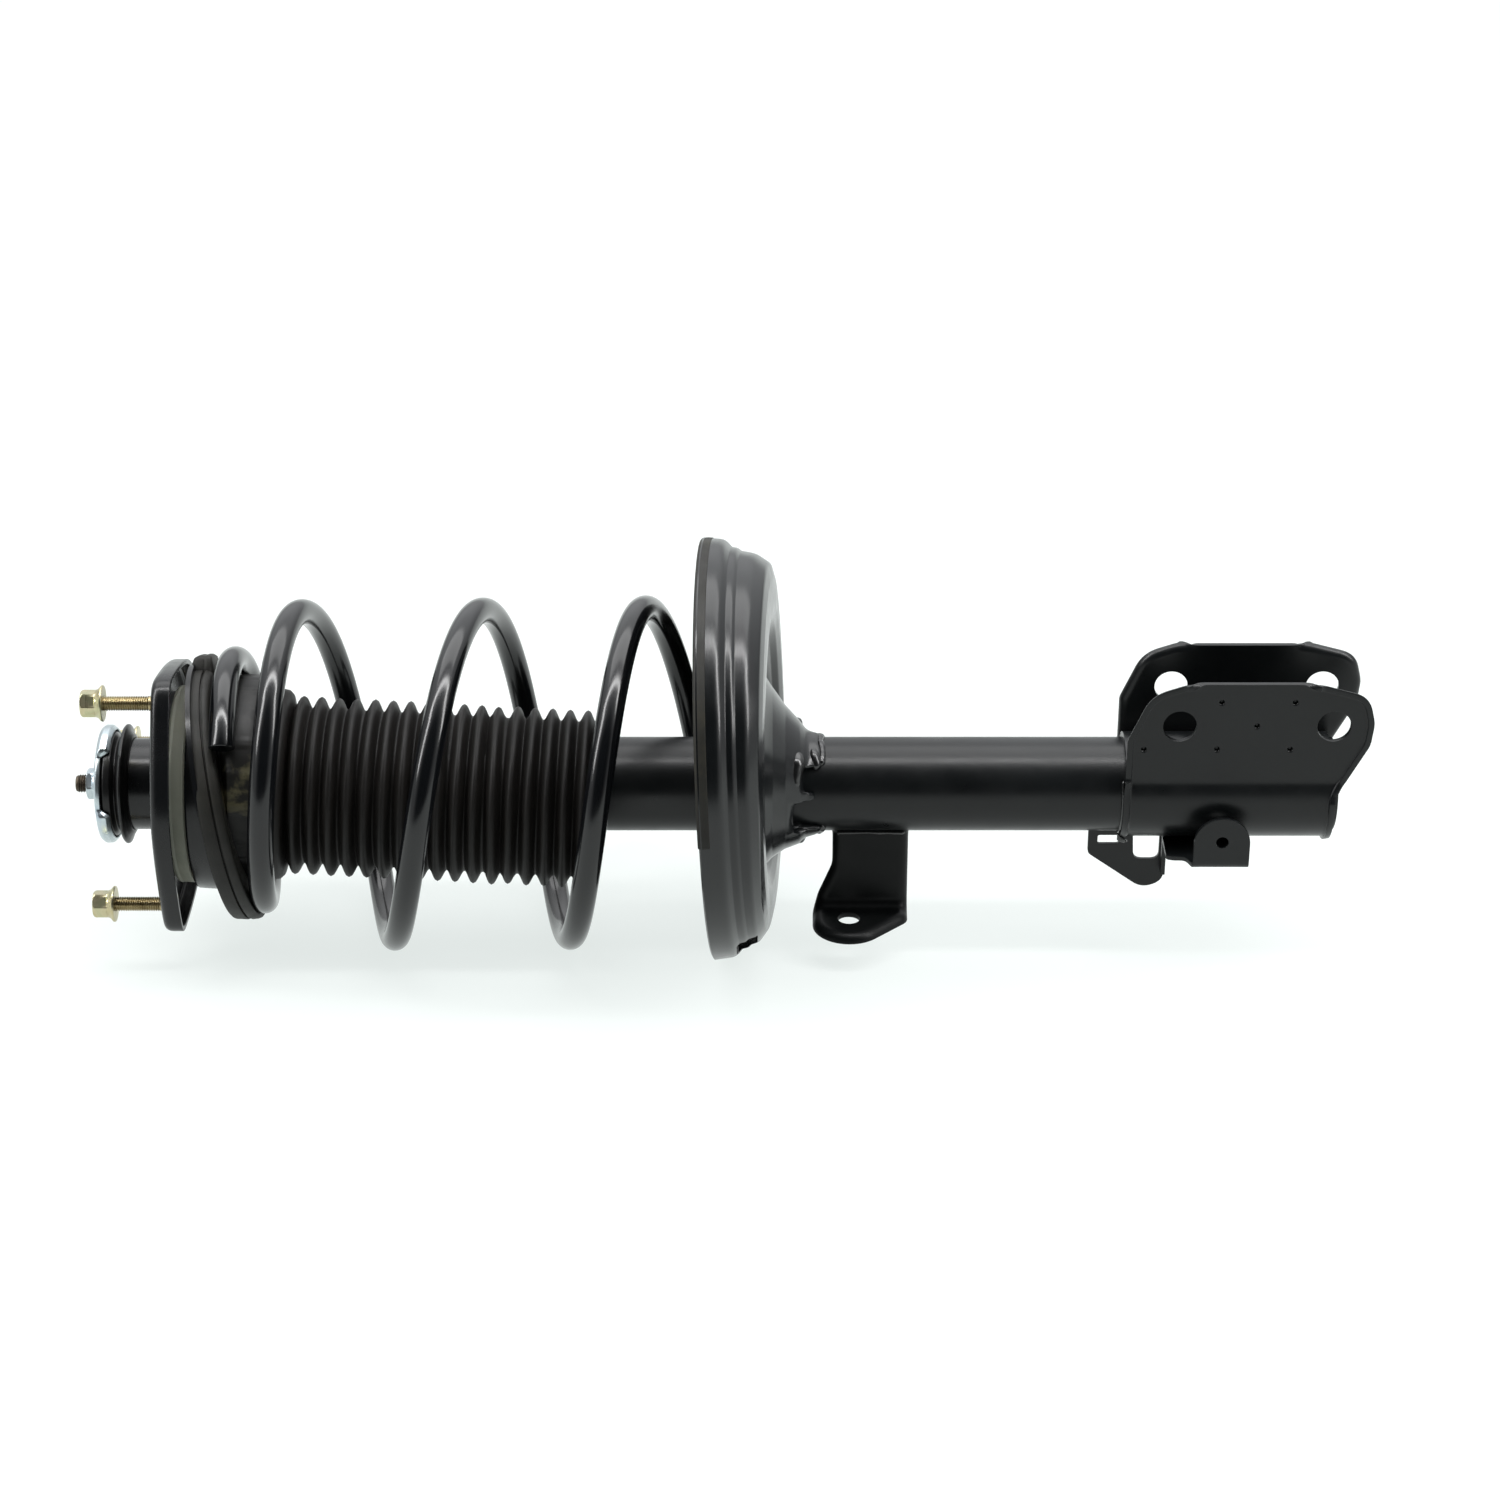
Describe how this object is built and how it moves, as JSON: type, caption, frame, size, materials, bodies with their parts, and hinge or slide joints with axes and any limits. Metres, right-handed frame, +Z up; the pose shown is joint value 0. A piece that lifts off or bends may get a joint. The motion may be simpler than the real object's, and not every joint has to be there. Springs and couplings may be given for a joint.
{
  "type": "strut assembly",
  "caption": "Front suspension strut with coil spring, top mount and bearing, dust boot, twin-tube damper, clevis bracket and side brackets.",
  "frame": {"origin": "on the strut axis, at the face of the mount plate that bolts against the car body", "axes": "+X along the strut axis from the top mount to the knuckle bracket, +Z up with the strut lying on its side and the clevis ears pointing up, +Y away from the ear that has the hose bracket"},
  "size_m": [0.698, 0.2283, 0.228],
  "materials": {
    "satin_black_paint": "satin black electrocoat",
    "mount_black_paint": "satin black electrocoat on the mount plate and neck",
    "spring_black_coat": "glossy black powder coat",
    "seat_black_paint": "semi-gloss black electrocoat",
    "weld_bead": "painted weld bead",
    "yellow_zinc": "yellow zinc plating",
    "clear_zinc": "clear zinc plating",
    "ground_steel": "hard chrome, ground",
    "machined_steel": "machined steel",
    "black_rubber": "moulded black rubber",
    "boot_rubber": "moulded thermoplastic rubber, brownish black",
    "olive_rubber": "olive grey moulded rubber",
    "seal_plastic": "olive grey moulded plastic",
    "foam": "cellular polyurethane",
    "bush_bronze": "bronze-backed sliding bush",
    "band_plastic": "filled sealing band"
  },
  "bodies": {
    "strut_body": {"outer_tube": "satin_black_paint", "tube_cap": "machined_steel", "oil_seal": "black_rubber", "rod_guide": "machined_steel", "guide_bush": "bush_bronze", "inner_cylinder": "machined_steel", "base_valve": "machined_steel", "base_valve_bolt": "machined_steel", "bottom_cap": "satin_black_paint", "lower_spring_seat": "seat_black_paint", "lower_insulator": "olive_rubber", "seat_welds": "weld_bead", "knuckle_bracket": "satin_black_paint", "bracket_reinforcement": "satin_black_paint", "bracket_weld": "weld_bead", "stabiliser_bracket": "satin_black_paint", "hose_bracket": "satin_black_paint", "coil_spring": "spring_black_coat"},
    "spring_seat": {"bearing_lower_race": "machined_steel", "bearing_balls": "ground_steel", "dust_seal": "seal_plastic", "upper_spring_seat": "mount_black_paint", "upper_insulator": "olive_rubber", "dust_boot": "boot_rubber"},
    "top_mount": {"mount_plate": "mount_black_paint", "body_studs": "yellow_zinc", "stud_nuts": "yellow_zinc", "bushing_cup": "mount_black_paint", "mount_bushing": "black_rubber", "bushing_sleeve": "machined_steel", "stopper_spool": "black_rubber", "retainer_washer": "clear_zinc", "rod_nut": "clear_zinc", "piston_rod": "ground_steel", "bearing_upper_race": "machined_steel", "bump_stop": "foam", "rebound_stop": "black_rubber", "rebound_valve_discs": "machined_steel", "piston": "machined_steel", "piston_band": "band_plastic", "compression_valve_discs": "machined_steel", "piston_nut": "machined_steel"}
  },
  "joints": [
    {"name": "damper", "type": "slide", "parent": "strut_body", "child": "spring_seat", "axis": [1, 0, 0], "range_m": [0, 0.09], "stiffness_N_per_m": 25000, "deforming": ["coil_spring", "dust_boot"]},
    {"name": "steer", "type": "hinge", "parent": "spring_seat", "child": "top_mount", "pos_m": [0.0092, 0, 0], "axis": [1, 0, 0], "continuous": true}
  ]
}
